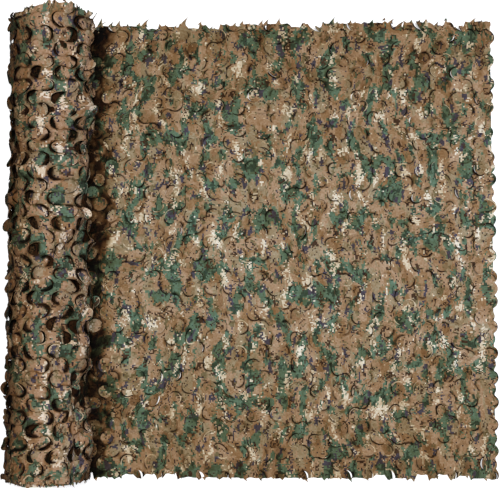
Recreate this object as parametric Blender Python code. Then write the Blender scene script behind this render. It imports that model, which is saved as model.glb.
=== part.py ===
"""Camouflage net: one width of thin cloth with rows of S-shaped slits that free round leaves.

Most of its length is wound into a roll. The rest runs out from under the roll and lies flat.
+X runs from the roll to the free end, +Y along the roll, +Z up. The origin is under the roll's axis,
on the flat spot on which the roll rests.
"""
import math

import bmesh
import bpy

# Driving dimensions, in metres and degrees
NET_WIDTH = 1.49            # cut edge to cut edge, along the roll
FREE_END = 1.438            # roll axis to the free end
CLOTH = 0.003               # thickness of the lying cloth, with the air held under its leaves
SEAT_GAP = 0.0003           # between the roll's outer turn and the cloth that runs on from it
ROLL_RADIUS = 0.131         # to the middle of the outer turn's cloth
TURN_STEP = 0.0084          # what the radius loses in one turn
FLAT_SPOT = 0.036           # half width of the roll's flattened underside
ROLL_OVERHANG = 0.005       # of the wound turns past the lying cloth's edges
SEAM_X = 0.020              # where the outer turn becomes the lying cloth

# The slit lattice: in each column a leaf that opens towards +X stands over one that opens towards -X
COLUMN_PITCH = 0.069        # on the lying cloth
HALF_ROW = 0.040            # from one leaf to the next along the width
LEAF_RADIUS = 0.0215
LEAF_SHIFT = 0.0115         # of a leaf's centre from the middle of its column
COLUMNS = 20                # on the lying cloth
HALF_ROWS = 38
SLIT_HALF_ANGLE = 100.0     # of a slit's arc round its leaf
BLOCK = 2                   # in each block of 2 x 2 leaves the one that is lifted most is cut free

# Leaf gaps on the lying cloth: least value and spread
GAP_LEAST, GAP_SPREAD = 0.0050, 0.0030
LIFT_LEAST, LIFT_SPREAD = 0.0060, 0.0060
GAP_AT_TIPS = 0.35          # share of the gap and the lift that is left near the slit's ends
CLEAR_OF_ROLL = 0.095       # no leaf is lifted nearer to the roll's axis than this
WAVE = 0.0022               # height of the lying cloth's shallow waves
WAVE_X, WAVE_Y = 17.0, 13.0  # radians of a wave in a metre
BEND_X, BEND_Y = 7.0, 5.0   # and of the bends in the wave's own line

# The lying cloth's edges. A row of the profile is a place in the column, counted in columns, and the
# least reach there and its spread, counted in horns.
HORN = 0.012                # reach of the torn points along the cut edges
HORN_PROFILE = ((-0.42, 0.0, 0.3), (-0.14, -0.9, 0.6), (-0.03, 0.3, 0.8), (0.15, -0.5, 0.4), (0.30, 0.0, 0.7))
TIP = 2                     # the row of the profile that is the horn's tip
HORN_BY_ROLL = 0.010        # what the tips gain beside the roll, where the cloth is pulled round
HORN_CURL = 0.3             # how far a horn stands up at most, as a share of its reach
END_SHORTER = 0.006         # every second leaf of the free end stops short by this
END_SPREAD = 0.006          # and the leaves end unevenly by this
WIDE_ARC = (-58, -20, 20, 58)  # the points round the edge of an end leaf, in degrees
NARROW_ARC = (-50, 0, 50)
END_MARGIN = 0.004          # no end leaf comes nearer than this to the cut edges

# Roll relief
ROLL_COLUMNS = 11           # leaves round the outer turn
STEPS_PER_COLUMN = 4
LEAF_OUT, LEAF_SUNK = 0.014, 0.009
SUNK_LEAVES = 0.3           # share of the leaves that have sunk in
LEAF_RISE = (0.3, 0.8, 1.0)  # share of a leaf's reach at each of its steps, after the neck
NECK_SUNK = -0.2            # of a sunk leaf's depth, at the neck
END_RINGS = 8               # rings on each end, two to a turn that shows
END_GROOVE = 0.016          # depth between the turns at the ends
END_RIM = 0.25              # of that depth, by which the ends lie inside the outer turn's edge
ROLL_HORN_MIDDLE = 0.35     # spread value of a point on the roll's edges that stands at its mean place

ROLLED_COLOUR = (0.20, 0.15, 0.10)
LYING_COLOUR = (0.24, 0.19, 0.12)
CLOTH_ROUGHNESS = 0.85

ROLL_AXIS_Z = math.sqrt(ROLL_RADIUS ** 2 - FLAT_SPOT ** 2)
HALF_WIDTH = NET_WIDTH / 2


def spread(i, j, k):
    """A repeatable value from 0 to 1 for three whole numbers."""
    return math.modf(abs(math.sin(i * 12.9898 + j * 78.233 + k * 37.719)) * 43758.5453)[0]


def smooth(value):
    """0 below 0, 1 above 1, and an S-curve between."""
    value = min(1.0, max(0.0, value))
    return value * value * (3 - 2 * value)


def half_row_y(half_row):
    """The middle of a half row, counted from the -Y edge."""
    return (half_row - (HALF_ROWS - 1) / 2) * HALF_ROW


def leaf_side(half_row):
    """+1 where the slit lies on the leaf's +X side, -1 where it lies on its -X side."""
    return 1 if half_row % 2 == 0 else -1


def leaf_centre(column, half_row):
    """Centre of a leaf on the lying cloth, with column 0 at the free end."""
    middle = FREE_END - (column + 0.5) * COLUMN_PITCH
    return middle + leaf_side(half_row) * LEAF_SHIFT, half_row_y(half_row)


def leaf_lift(column, half_row):
    """How far a leaf stands up, as a share from 0 to 1."""
    return spread(column, half_row, 1)


def open_leaves():
    """The leaf that stands up most in each block of the lattice."""
    leaves = []
    for first_column in range(0, COLUMNS, BLOCK):
        for first_row in range(1, HALF_ROWS - 1, BLOCK):
            block = [(column, row) for column in range(first_column, first_column + BLOCK)
                     for row in range(first_row, first_row + BLOCK)]
            leaves.append(max(block, key=lambda leaf: leaf_lift(*leaf)))
    return leaves


def crescent(column, half_row):
    """The gap beside a lifted leaf: points on the slit's arc, then back along the leaf's edge.

    Each point is (x, y, lift). The leaf's edge has drawn back from the arc and is lifted in the same
    measure: fully in the middle of the slit, and from there falling as the cosine squared to the
    share that is left near its ends.
    """
    x, y = leaf_centre(column, half_row)
    side = leaf_side(half_row)
    share = leaf_lift(column, half_row)
    gap = GAP_LEAST + GAP_SPREAD * share
    lift = (LIFT_LEAST + LIFT_SPREAD * share) * smooth((x - CLEAR_OF_ROLL) / COLUMN_PITCH)
    points = []
    for turn in (-1.0, -0.5, 0.0, 0.5, 1.0):
        angle = math.radians(SLIT_HALF_ANGLE * turn)
        points.append((x + side * LEAF_RADIUS * math.cos(angle), y + LEAF_RADIUS * math.sin(angle), 0.0))
    for turn in (0.5, 0.0, -0.5):
        angle = math.radians(SLIT_HALF_ANGLE * turn)
        drawn = GAP_AT_TIPS + (1 - GAP_AT_TIPS) * math.cos(math.pi / 2 * turn) ** 2
        radius = LEAF_RADIUS - gap * drawn
        points.append((x + side * radius * math.cos(angle), y + radius * math.sin(angle), lift * drawn))
    return points


def torn_edge(end):
    """Points along one cut edge, from the seam to the free end: notches and horns at each column.

    end is -1 for the -Y edge and +1 for the +Y edge.
    """
    points = []
    for column in reversed(range(COLUMNS)):
        middle = FREE_END - (column + 0.5) * COLUMN_PITCH
        for place, (across, reach, extra) in enumerate(HORN_PROFILE):
            x = middle + across * COLUMN_PITCH
            out = (reach + extra * spread(column, place, 3 + end)) * HORN
            if place == TIP:
                out += HORN_BY_ROLL * (1 - smooth((x - ROLL_RADIUS) / COLUMN_PITCH))
            curl = HORN_CURL * HORN * spread(column, place, 7 + end)
            curl *= smooth((x - CLEAR_OF_ROLL) / COLUMN_PITCH)
            points.append((x, end * (HALF_WIDTH + out), curl))
    return points


def free_edge():
    """Points up the free end, from -Y to +Y: the round edge of one leaf after another."""
    points = []
    for half_row in range(HALF_ROWS):
        y = half_row_y(half_row)
        wide = leaf_side(half_row) > 0
        reach = FREE_END - (0.0 if wide else END_SHORTER) + END_SPREAD * (spread(half_row, 0, 11) - 0.5)
        lift = 0.5 * LIFT_SPREAD * spread(half_row, 1, 11)
        for angle in (WIDE_ARC if wide else NARROW_ARC):
            turned = math.radians(angle)
            point_y = y + LEAF_RADIUS * math.sin(turned)
            if abs(point_y) < HALF_WIDTH - END_MARGIN:
                points.append((reach - LEAF_RADIUS * (1 - math.cos(turned)), point_y,
                               lift * math.cos(turned)))
    return points


def sheet_wave(x, y):
    """Height of the lying cloth over the floor: shallow crossed waves that die out at the roll."""
    wave_x = math.sin(x * WAVE_X + 2.0 * math.sin(y * BEND_Y))
    wave_y = math.sin(y * WAVE_Y + 1.3 * math.sin(x * BEND_X))
    wave = wave_x * wave_y
    return WAVE * max(0.0, wave) * smooth((x - CLEAR_OF_ROLL) / COLUMN_PITCH)


def new_material(name, colour, roughness):
    """A plain cloth material."""
    material = bpy.data.materials.new(name)
    material.use_nodes = True
    shader = material.node_tree.nodes["Principled BSDF"]
    shader.inputs["Base Color"].default_value = (*colour, 1.0)
    shader.inputs["Roughness"].default_value = roughness
    shader.inputs["Metallic"].default_value = 0.0
    material.diffuse_color = (*colour, 1.0)
    return material


def filled_outline(name, outlines):
    """A flat mesh inside the first closed outline and outside the others."""
    curve = bpy.data.curves.new(name + "_outline", "CURVE")
    curve.dimensions = "2D"
    curve.fill_mode = "BOTH"
    for outline in outlines:
        spline = curve.splines.new("POLY")
        spline.points.add(len(outline) - 1)
        for point, (x, y, _) in zip(spline.points, outline):
            point.co = (x, y, 0.0, 1.0)
        spline.use_cyclic_u = True
    drawn = bpy.data.objects.new(name + "_outline", curve)
    bpy.context.scene.collection.objects.link(drawn)
    evaluated = drawn.evaluated_get(bpy.context.evaluated_depsgraph_get())
    mesh = bpy.data.meshes.new_from_object(evaluated)
    mesh.name = name
    bpy.data.objects.remove(drawn)
    return mesh


def build_loose_sheet(collection):
    """The lying cloth: outline and gaps filled flat, thickened, then lifted to its waves and leaves."""
    outline = [(SEAM_X + SEAT_GAP, -HALF_WIDTH, 0.0)]
    outline += torn_edge(-1)
    outline += free_edge()
    outline += list(reversed(torn_edge(1)))
    outline.append((SEAM_X + SEAT_GAP, HALF_WIDTH, 0.0))
    gaps = [crescent(*leaf) for leaf in open_leaves()]
    lifts = {(round(x, 5), round(y, 5)): lift for ring in [outline] + gaps for x, y, lift in ring}

    mesh = filled_outline("loose_sheet", [outline] + gaps)
    shape = bmesh.new()
    shape.from_mesh(mesh)
    bmesh.ops.remove_doubles(shape, verts=shape.verts, dist=0.0001)
    bmesh.ops.triangulate(shape, faces=shape.faces)
    bmesh.ops.beautify_fill(shape, faces=shape.faces, edges=shape.edges)
    for vertex in shape.verts:
        x, y = vertex.co.x, vertex.co.y
        vertex.co.z = sheet_wave(x, y) + lifts.get((round(x, 5), round(y, 5)), 0.0)
    top = bmesh.ops.extrude_face_region(shape, geom=shape.faces[:])
    for vertex in [item for item in top["geom"] if isinstance(item, bmesh.types.BMVert)]:
        vertex.co.z += CLOTH
    bmesh.ops.recalc_face_normals(shape, faces=shape.faces)
    shape.to_mesh(mesh)
    shape.free()
    sheet = bpy.data.objects.new("loose_sheet", mesh)
    collection.objects.link(sheet)
    return sheet


def roll_outline(turned, out):
    """A point of the roll's section, (x, z), at an angle from straight down, over the -X side.

    The radius shrinks evenly by one turn's step, and near the floor the round sags onto what it
    lies on: the floor under the outer turn, the lying cloth under the turn that comes back to it.
    """
    radius = ROLL_RADIUS - TURN_STEP * turned / math.tau
    x = -(radius + out) * math.sin(turned)
    z = ROLL_AXIS_Z - (radius + out) * math.cos(turned)
    if math.cos(turned) > 0:
        rest = 0.0 if turned < math.pi else CLOTH + SEAT_GAP
        sag = smooth((abs(radius * math.sin(turned)) - FLAT_SPOT) / FLAT_SPOT)
        z = rest + (z - rest) * sag
    return x, z


def roll_relief(step, half_row, turned):
    """How far the roll's surface stands out at a lattice point in the middle of a half row."""
    column, place = divmod(step, STEPS_PER_COLUMN)
    if leaf_side(half_row) < 0:
        place = STEPS_PER_COLUMN - 1 - place
    share = spread(column, half_row, 5)
    tip = LEAF_OUT * share if share > SUNK_LEAVES else -LEAF_SUNK
    out = NECK_SUNK * LEAF_SUNK if place == 0 else LEAF_RISE[place - 1] * tip
    if math.cos(turned) > 0:
        out *= smooth((abs(ROLL_RADIUS * math.sin(turned)) - 1.5 * FLAT_SPOT) / FLAT_SPOT)
    return out


def roll_rows():
    """Places along the roll and their half row, or None between two half rows."""
    rows = [(-HALF_WIDTH - ROLL_OVERHANG, None)]
    for half_row in range(1, HALF_ROWS - 1):
        rows.append((half_row_y(half_row) - HALF_ROW / 2, None))
        rows.append((half_row_y(half_row), half_row))
    rows.append((half_row_y(HALF_ROWS - 2) + HALF_ROW / 2, None))
    rows.append((HALF_WIDTH + ROLL_OVERHANG, None))
    return rows


def lofted(rows, angles):
    """Points on the roll's skin, one section after another along Y, with the faces between them."""
    around = len(angles)
    points = []
    for row, (y, half_row) in enumerate(rows):
        end = math.copysign(1, y) if row in (0, len(rows) - 1) else 0
        for step, turned in enumerate(angles):
            out = 0.0 if half_row is None else roll_relief(step, half_row, turned)
            x, z = roll_outline(turned, out)
            points.append((x, y + end * HORN * (spread(step, row, 13) - ROLL_HORN_MIDDLE), z))
    faces = []
    for row in range(len(rows) - 1):
        for step in range(around):
            following = (step + 1) % around
            low, high = row * around, (row + 1) * around
            faces.append((low + step, low + following, high + following, high + step))
    return points, faces


def add_end(points, faces, angles, end, outer):
    """Close one end of the roll with rings that rise and fall from turn to turn, towards its axis.

    outer is the number of the first point of the skin's last section at that end.
    """
    around = len(angles)
    for ring in range(1, END_RINGS):
        inner = len(points)
        scale = 1 - ring / END_RINGS
        for step, turned in enumerate(angles):
            x, z = roll_outline(turned, 0.0)
            groove = 0.5 - 0.5 * math.cos(math.pi * ring + turned)
            y = end * (HALF_WIDTH + ROLL_OVERHANG - END_RIM * END_GROOVE - END_GROOVE * groove)
            points.append((x * scale, y, ROLL_AXIS_Z + (z - ROLL_AXIS_Z) * scale))
        for step in range(around):
            following = (step + 1) % around
            faces.append((outer + step, outer + following, inner + following, inner + step))
        outer = inner
    points.append((0.0, end * (HALF_WIDTH + ROLL_OVERHANG - END_GROOVE), ROLL_AXIS_Z))
    faces += [(outer + step, outer + (step + 1) % around, len(points) - 1) for step in range(around)]


def build_roll(collection):
    """The wound cloth: a loft of leafy sections along Y, closed by ends with the turns' ridges."""
    steps = ROLL_COLUMNS * STEPS_PER_COLUMN
    first = -math.asin(SEAM_X / ROLL_RADIUS)
    last = math.tau - math.asin(SEAM_X / (ROLL_RADIUS - TURN_STEP))
    angles = [first + (last - first) * step / steps for step in range(steps + 1)]
    rows = roll_rows()
    points, faces = lofted(rows, angles)
    add_end(points, faces, angles, -1, 0)
    add_end(points, faces, angles, 1, (len(rows) - 1) * len(angles))

    mesh = bpy.data.meshes.new("roll")
    mesh.from_pydata(points, [], faces)
    shape = bmesh.new()
    shape.from_mesh(mesh)
    bmesh.ops.triangulate(shape, faces=shape.faces)
    bmesh.ops.recalc_face_normals(shape, faces=shape.faces)
    shape.to_mesh(mesh)
    shape.free()
    roll = bpy.data.objects.new("roll", mesh)
    collection.objects.link(roll)
    return roll


def main():
    """Clear the scene and build the net's two solids."""
    for thing in list(bpy.data.objects):
        bpy.data.objects.remove(thing)
    collection = bpy.data.collections.new("camouflage_net")
    bpy.context.scene.collection.children.link(collection)
    roll = build_roll(collection)
    roll.data.materials.append(new_material("rolled_cloth", ROLLED_COLOUR, CLOTH_ROUGHNESS))
    sheet = build_loose_sheet(collection)
    sheet.data.materials.append(new_material("lying_cloth", LYING_COLOUR, CLOTH_ROUGHNESS))


main()
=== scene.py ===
import math

import bpy
import numpy as np
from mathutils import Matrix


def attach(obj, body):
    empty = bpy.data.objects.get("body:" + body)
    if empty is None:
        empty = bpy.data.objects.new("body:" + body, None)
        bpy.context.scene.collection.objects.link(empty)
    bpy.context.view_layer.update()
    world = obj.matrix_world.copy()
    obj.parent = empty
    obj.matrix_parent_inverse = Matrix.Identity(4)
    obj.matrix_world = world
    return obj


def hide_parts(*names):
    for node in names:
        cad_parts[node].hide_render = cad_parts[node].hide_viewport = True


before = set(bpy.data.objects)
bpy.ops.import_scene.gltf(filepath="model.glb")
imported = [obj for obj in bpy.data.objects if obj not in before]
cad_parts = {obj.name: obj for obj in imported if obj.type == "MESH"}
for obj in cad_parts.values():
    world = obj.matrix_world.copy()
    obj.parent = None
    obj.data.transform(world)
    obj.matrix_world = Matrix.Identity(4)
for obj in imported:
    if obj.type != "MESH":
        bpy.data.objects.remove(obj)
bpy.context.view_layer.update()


# ------------------------ the floor, the light and the camera
# A white light table on a grey studio floor under one broad, soft overhead light, with cool daylight
# from a window on the right, and a camera high above the net, tipped a few degrees back to its middle.
FLOOR_SIZE = 9.0
FLOOR_DEPTH = -0.003
FLOOR_GREY = 0.30
TABLE = ((-0.200, -0.84), (1.48, 0.86))
TABLE_DEPTH = -0.0005  # just under the net
TABLE_WHITE = 0.38
TABLE_GLOW = 0.50
MATT_ROUGHNESS, MATT_SHINE = 0.9, 0.1
OVERHEAD_STRENGTH = 6.0
OVERHEAD_SPREAD = math.radians(22)
OVERHEAD_LEAN = (math.radians(-6), math.radians(4), 0.0)
ROOM_LIGHT = 0.20
WINDOW_PLACE = (2.6, 0.05, 1.1)
WINDOW_AIM_X = 1.0
WINDOW_SIZE = 1.0
WINDOW_POWER = 20.0
WINDOW_COLOUR = (0.55, 0.65, 1.0)
CAMERA_PLACE = (0.639, -0.377, 4.925)
CAMERA_AIM_Y = 0.0123
VIEW_ACROSS = math.radians(18.79)


def lay_flat(name, low, high, depth, grey, glow):
    """A matt rectangle from one corner to the other, made of one flat face, that may give off light."""
    mesh = bpy.data.meshes.new(name)
    corners = [(low[0], low[1]), (high[0], low[1]), (high[0], high[1]), (low[0], high[1])]
    mesh.from_pydata([(x, y, depth) for x, y in corners], [], [(0, 1, 2, 3)])
    matt = bpy.data.materials.new("matt_" + name)
    matt.use_nodes = True
    shader = matt.node_tree.nodes["Principled BSDF"]
    shader.inputs["Base Color"].default_value = (grey, grey, grey, 1.0)
    shader.inputs["Roughness"].default_value = MATT_ROUGHNESS
    shader.inputs["Specular IOR Level"].default_value = MATT_SHINE
    shader.inputs["Emission Color"].default_value = (1.0, 1.0, 1.0, 1.0)
    shader.inputs["Emission Strength"].default_value = glow
    mesh.materials.append(matt)
    flat = bpy.data.objects.new(name, mesh)
    bpy.context.scene.collection.objects.link(flat)


def hang_lights():
    """One wide sun overhead, leaning a little, a weak cool window on the right and an even white room."""
    sun = bpy.data.lights.new("overhead_softbox", "SUN")
    sun.energy = OVERHEAD_STRENGTH
    sun.angle = OVERHEAD_SPREAD
    lamp = bpy.data.objects.new("overhead_softbox", sun)
    lamp.rotation_euler = OVERHEAD_LEAN
    bpy.context.scene.collection.objects.link(lamp)
    window = bpy.data.lights.new("cool_window", "AREA")
    window.energy = WINDOW_POWER
    window.size = WINDOW_SIZE
    window.color = WINDOW_COLOUR
    pane = bpy.data.objects.new("cool_window", window)
    pane.location = WINDOW_PLACE
    pane.rotation_euler = (0.0, math.atan2(WINDOW_PLACE[0] - WINDOW_AIM_X, WINDOW_PLACE[2]), 0.0)
    bpy.context.scene.collection.objects.link(pane)
    room = bpy.data.worlds.new("white_room")
    room.use_nodes = True
    room.node_tree.nodes["Background"].inputs["Color"].default_value = (1.0, 1.0, 1.0, 1.0)
    room.node_tree.nodes["Background"].inputs["Strength"].default_value = ROOM_LIGHT
    bpy.context.scene.world = room


def set_camera():
    """A long lens that takes in VIEW_ACROSS from side to side, turned so that +Y is up in the picture."""
    lens = bpy.data.cameras.new("studio_camera")
    lens.angle = VIEW_ACROSS
    camera = bpy.data.objects.new("studio_camera", lens)
    camera.location = CAMERA_PLACE
    tip = math.atan2(CAMERA_AIM_Y - CAMERA_PLACE[1], CAMERA_PLACE[2])
    camera.rotation_euler = (tip, 0.0, 0.0)
    bpy.context.scene.collection.objects.link(camera)
    bpy.context.scene.camera = camera
    bpy.context.scene.view_settings.view_transform = "Standard"


half_floor = FLOOR_SIZE / 2
lay_flat("studio_floor", (-half_floor, -half_floor), (half_floor, half_floor), FLOOR_DEPTH, FLOOR_GREY, 0.0)
lay_flat("light_table", *TABLE, TABLE_DEPTH, TABLE_WHITE, TABLE_GLOW)
hang_lights()
set_camera()


# ------------------------ the printed cloth
# Thin plain-woven polyester, matt, printed on both faces with a woodland pattern of square dots:
# brown ground, green patches, purple-black broken shapes and speckled cream ones.
DOT = 0.0042  # side of a printed dot
TAN = (0.224, 0.163, 0.114)
KHAKI = (0.188, 0.159, 0.110)
RUST = (0.172, 0.114, 0.065)
OLIVE = (0.100, 0.086, 0.048)
UMBER = (0.036, 0.022, 0.014)
GREEN = (0.064, 0.109, 0.080)
MOSS = (0.025, 0.043, 0.031)
PLUM = (0.039, 0.037, 0.056)
CREAM = (0.408, 0.394, 0.345)
SAND = (0.330, 0.272, 0.200)
INK = (0.014, 0.011, 0.014)
FRAY_AND_HIGHLIGHT = (0.38, 0.34, 0.26)  # pale yarn along some cut edges, and painted highlight where they catch light
FRAY_AND_HIGHLIGHT_WIDTH = 0.0034

# Each layer of patches has its size along and across the net, the place its noise is read from, the
# noise value over which it is printed, how ragged single dots make its outline, and how finely it is
# broken up. Printed on the TAN ground one after another, with the MOSS ones on the GREEN ones alone.
PRINT = (
    (RUST, ((0.036, 0.060), (8.2, 4.4, 0.0), 0.540, 0.04, 3.0)),
    (KHAKI, ((0.040, 0.072), (3.1, 1.7, 0.0), 0.560, 0.04, 3.0)),
    (OLIVE, ((0.024, 0.036), (9.4, 2.2, 0.0), 0.630, 0.12, 3.0)),
    (GREEN, ((0.050, 0.084), (0.0, 5.3, 0.0), 0.547, 0.07, 3.0)),
    (UMBER, ((0.030, 0.040), (5.5, 9.1, 0.0), 0.672, 0.20, 3.0)),
    (SAND, ((0.009, 0.016), (2.9, 14.3, 0.0), 0.762, 0.24, 3.0)),
    (PLUM, ((0.028, 0.050), (4.6, 12.4, 0.0), 0.652, 0.10, 3.0)),
    (INK, ((0.010, 0.017), (11.3, 3.6, 0.0), 0.735, 0.24, 3.0)),
    (CREAM, ((0.040, 0.070), (15.2, 6.1, 0.0), 0.654, 0.14, 5.0)),
)
MOSS_ON_GREEN = ((0.020, 0.034), (7.7, 8.8, 0.0), 0.540, 0.12, 3.0)
PATCH_ROUGHNESS = 0.55

DOT_GRAIN = 0.34  # shade that single dots have at most, as the cloth is worn and dusty
SOFT_SHADE = (0.44, 0.31, 0.18, 1.0)  # what is left of a colour in half shade
DEEP_SHADE = (0.050, 0.030, 0.015)  # and in deep shade
HALF_SHADE_AT = 0.7
DEEP_SHADE_FROM = 0.3
SLIT_SHADE_WIDTH = 0.0078  # how far from a slit its painted shade reaches at most
CRESCENT_FADE = 0.7  # share of that width over which the shade falls off
CRUMPLES_PER_METRE, CRUMPLE_HEIGHT = 85.0, 0.004
CRUMPLE_DETAIL, CRUMPLE_ROUGHNESS = 4.0, 0.62
WEAVE_SCALE = 320.0
THREAD_HEIGHT, THREAD_STRENGTH = 0.0003, 0.25
CLOTH_ROUGHNESS, CLOTH_SHINE = 0.9, 0.05


def set_socket(tree, socket, value):
    """Link another node's output to an input, or give the input a value."""
    if isinstance(value, bpy.types.NodeSocket):
        tree.links.new(value, socket)
    else:
        socket.default_value = value


def node(tree, kind, options=(), output=0, **inputs):
    """Add a shader node with its options, set its inputs by name, and give one of its outputs."""
    made = tree.nodes.new("ShaderNode" + kind)
    for option, value in options:
        setattr(made, option, value)
    for name, value in inputs.items():
        set_socket(tree, made.inputs[name.replace("_", " ")], value)
    return made.outputs[output]


def worked_out(tree, kind, operation, *values):
    """What an operation of a Math or VectorMath node makes of its values."""
    made = tree.nodes.new("ShaderNode" + kind)
    made.operation = operation
    for socket, value in zip(made.inputs, values):
        set_socket(tree, socket, value)
    return made.outputs[0]


def mixed(tree, factor, below, above, blend="MIX"):
    """One colour below another, chosen by a factor. The Mix node's colours are its sockets 6, 7 and 2."""
    mix = tree.nodes.new("ShaderNodeMix")
    mix.data_type = "RGBA"
    mix.blend_type = blend
    for socket, value in ((mix.inputs[0], factor), (mix.inputs[6], below), (mix.inputs[7], above)):
        set_socket(tree, socket, (*value, 1.0) if isinstance(value, tuple) else value)
    return mix.outputs[2]


def patches(tree, dots, layer):
    """1 inside the printed patches of one layer and 0 outside.

    Smooth noise of the layer's size is read once for each dot, a little random value for each
    dot is added, and the sum is compared with the layer's threshold.
    """
    (size_s, size_t), offset, threshold, ragged, detail = layer
    stretched = worked_out(tree, "VectorMath", "MULTIPLY_ADD", dots, (1 / size_s, 1 / size_t, 1.0), offset)
    noise = node(tree, "TexNoise", [("noise_dimensions", "2D")],
                 Vector=stretched, Scale=1.0, Detail=detail, Roughness=PATCH_ROUGHNESS)
    cell = worked_out(tree, "VectorMath", "MULTIPLY_ADD", dots, (1 / DOT, 1 / DOT, 1.0), offset)
    chance = node(tree, "TexWhiteNoise", [("noise_dimensions", "2D")], Vector=cell)
    both = worked_out(tree, "Math", "MULTIPLY_ADD", chance, ragged, noise)
    return worked_out(tree, "Math", "GREATER_THAN", both, threshold + ragged / 2)


def near_slit(tree, width, amount):
    """1 along a slit and 0 away from it; an attribute, the amount, narrows it, so that it forms crescents.

    It is an S-curve of the distance less width times the amount, from 1 at -CRESCENT_FADE width to 0 at 0.
    """
    distance = node(tree, "Attribute", [("attribute_name", "slit_distance")], "Fac")
    share = node(tree, "Attribute", [("attribute_name", amount)], "Fac")
    shifted = worked_out(tree, "Math", "MULTIPLY_ADD", share, -width, distance)
    return node(tree, "MapRange", [("interpolation_type", "SMOOTHSTEP")], Value=shifted,
                From_Min=-CRESCENT_FADE * width, From_Max=0.0, To_Min=1.0, To_Max=0.0)


def printed_colour(tree, place, cast):
    """The print at a place on the cloth, every colour multiplied by the cast."""
    dots = worked_out(tree, "VectorMath", "SNAP", place, (DOT, DOT, 1.0))

    def tint(colour):
        return tuple(part * share for part, share in zip(colour, cast))

    printed = tint(TAN)
    for colour, layer in PRINT:
        above = tint(colour)
        if colour == GREEN:
            above = mixed(tree, patches(tree, dots, MOSS_ON_GREEN), above, tint(MOSS))
        printed = mixed(tree, patches(tree, dots, layer), printed, above)
    # Along some cut edges: pale fraying yarn and painted highlight.
    return mixed(tree, near_slit(tree, FRAY_AND_HIGHLIGHT_WIDTH, "slit_fray"), printed, tint(FRAY_AND_HIGHLIGHT))


def shaded(tree, place, colour):
    """A colour with a random shade on each dot, the points' painted shade and tone, and the painted shade in
    the slits.
    """
    cell = worked_out(tree, "VectorMath", "MULTIPLY", place, (1 / DOT, 1 / DOT, 1.0))
    cell = worked_out(tree, "VectorMath", "FLOOR", cell)
    chance = node(tree, "TexWhiteNoise", [("noise_dimensions", "2D")], Vector=cell)
    shade = node(tree, "Attribute", [("attribute_name", "shade")], "Fac")
    half_shade = worked_out(tree, "Math", "MULTIPLY", shade, 1 / HALF_SHADE_AT)
    half_shade = worked_out(tree, "Math", "MULTIPLY_ADD", chance, DOT_GRAIN, half_shade)
    left = node(tree, "Gamma", Color=SOFT_SHADE, Gamma=half_shade)
    colour = mixed(tree, 1.0, colour, left, blend="MULTIPLY")
    full_shade = node(tree, "MapRange", Value=shade,
                      From_Min=DEEP_SHADE_FROM, From_Max=1.0, To_Min=0.0, To_Max=1.0)
    for darkness in (full_shade, near_slit(tree, SLIT_SHADE_WIDTH, "slit_depth")):
        colour = mixed(tree, darkness, colour, mixed(tree, 1.0, colour, DEEP_SHADE, blend="MULTIPLY"))
    return colour


def woven(tree, place):
    """The surface's slopes: soft crumples, and on them the crossed threads of a plain weave."""
    crumple = node(tree, "TexNoise", [("noise_dimensions", "2D")], Vector=place,
                   Scale=CRUMPLES_PER_METRE, Detail=CRUMPLE_DETAIL, Roughness=CRUMPLE_ROUGHNESS)
    ribs = [node(tree, "TexWave", [("bands_direction", direction)], "Fac", Vector=place, Scale=WEAVE_SCALE)
            for direction in ("X", "Y")]
    weave = worked_out(tree, "Math", "MULTIPLY", *ribs)
    folds = node(tree, "Bump", Strength=1.0, Distance=CRUMPLE_HEIGHT, Height=crumple)
    return node(tree, "Bump", Strength=THREAD_STRENGTH, Distance=THREAD_HEIGHT, Height=weave, Normal=folds)


def camouflage_cloth(name, cast):
    """The cloth's material: the print in its own colours, with painted shade in the slits, over crumpled
    thin weave.
    """
    material = bpy.data.materials.new(name)
    material.use_nodes = True
    tree = material.node_tree
    shader = tree.nodes["Principled BSDF"]
    place = node(tree, "UVMap", [("uv_map", "cloth")])
    tree.links.new(shaded(tree, place, printed_colour(tree, place, cast)), shader.inputs["Base Color"])
    tree.links.new(woven(tree, place), shader.inputs["Normal"])
    shader.inputs["Roughness"].default_value = CLOTH_ROUGHNESS
    shader.inputs["Specular IOR Level"].default_value = CLOTH_SHINE
    return material


# ------------------------ the lying cloth
# The loose end of the net, flat on the floor. The cloth is die-cut with S-shaped slits: in each
# column a round leaf that opens towards +X stands over one that opens towards -X.
SEAM_X = 0.020  # where the roll's outer turn becomes the lying cloth
FREE_END = 1.438
LYING_LENGTH = FREE_END - SEAM_X
HALF_WIDTH = 0.745
COLUMNS = 21
COLUMN_PITCH = LYING_LENGTH / COLUMNS
HALF_ROWS = 38
HALF_ROW = 0.040
LEAF_RADIUS = 0.0215
LEAF_SHIFT = 0.0115  # of a leaf's centre from the middle of its column
SLIT_END = 0.5  # the slit ends where this share of the radius lies behind the leaf's centre
BOUND_WAVE = 0.0045  # height of the wavy line between two half rows
LEAF_STEPS = 7  # grid steps across a leaf
WIDE_STEPS = 3  # and on the wide side of it; the narrow side takes one
RELAXED = 60  # rounds of evening out the grid
NO_SLIT = 1.0  # distance given where no slit is near
CLOSED_REACH = 0.0200  # half of a hole's length, less than its leaf's, so that they overlap

# How unevenly it lies. A layer of relief or pull is its height and the size of its grains.
LYING_HEIGHT = 0.0016
LYING_WAVE = 0.0022
WAVE_X, WAVE_Y = 17.0, 13.0  # radians of the shallow waves in a metre
BEND_X, BEND_Y = 7.0, 5.0  # and of the bends in their own lines
BEND_OF_X, BEND_OF_Y = 2.0, 1.3  # how far those shift the waves, in radians
PUCKER = 0.0012
PUCKER_LAYERS = ((0.0022, 0.031), (0.0013, 0.016))
PULL_ALONG = ((0.017, 0.140), (0.0045, 0.042))
PULL_ACROSS = ((0.014, 0.150), (0.0045, 0.046))
FREE_TO_PULL = 0.09  # how far from its edges the cloth is pulled fully
LEAST_HEIGHT = 0.0002

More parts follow.
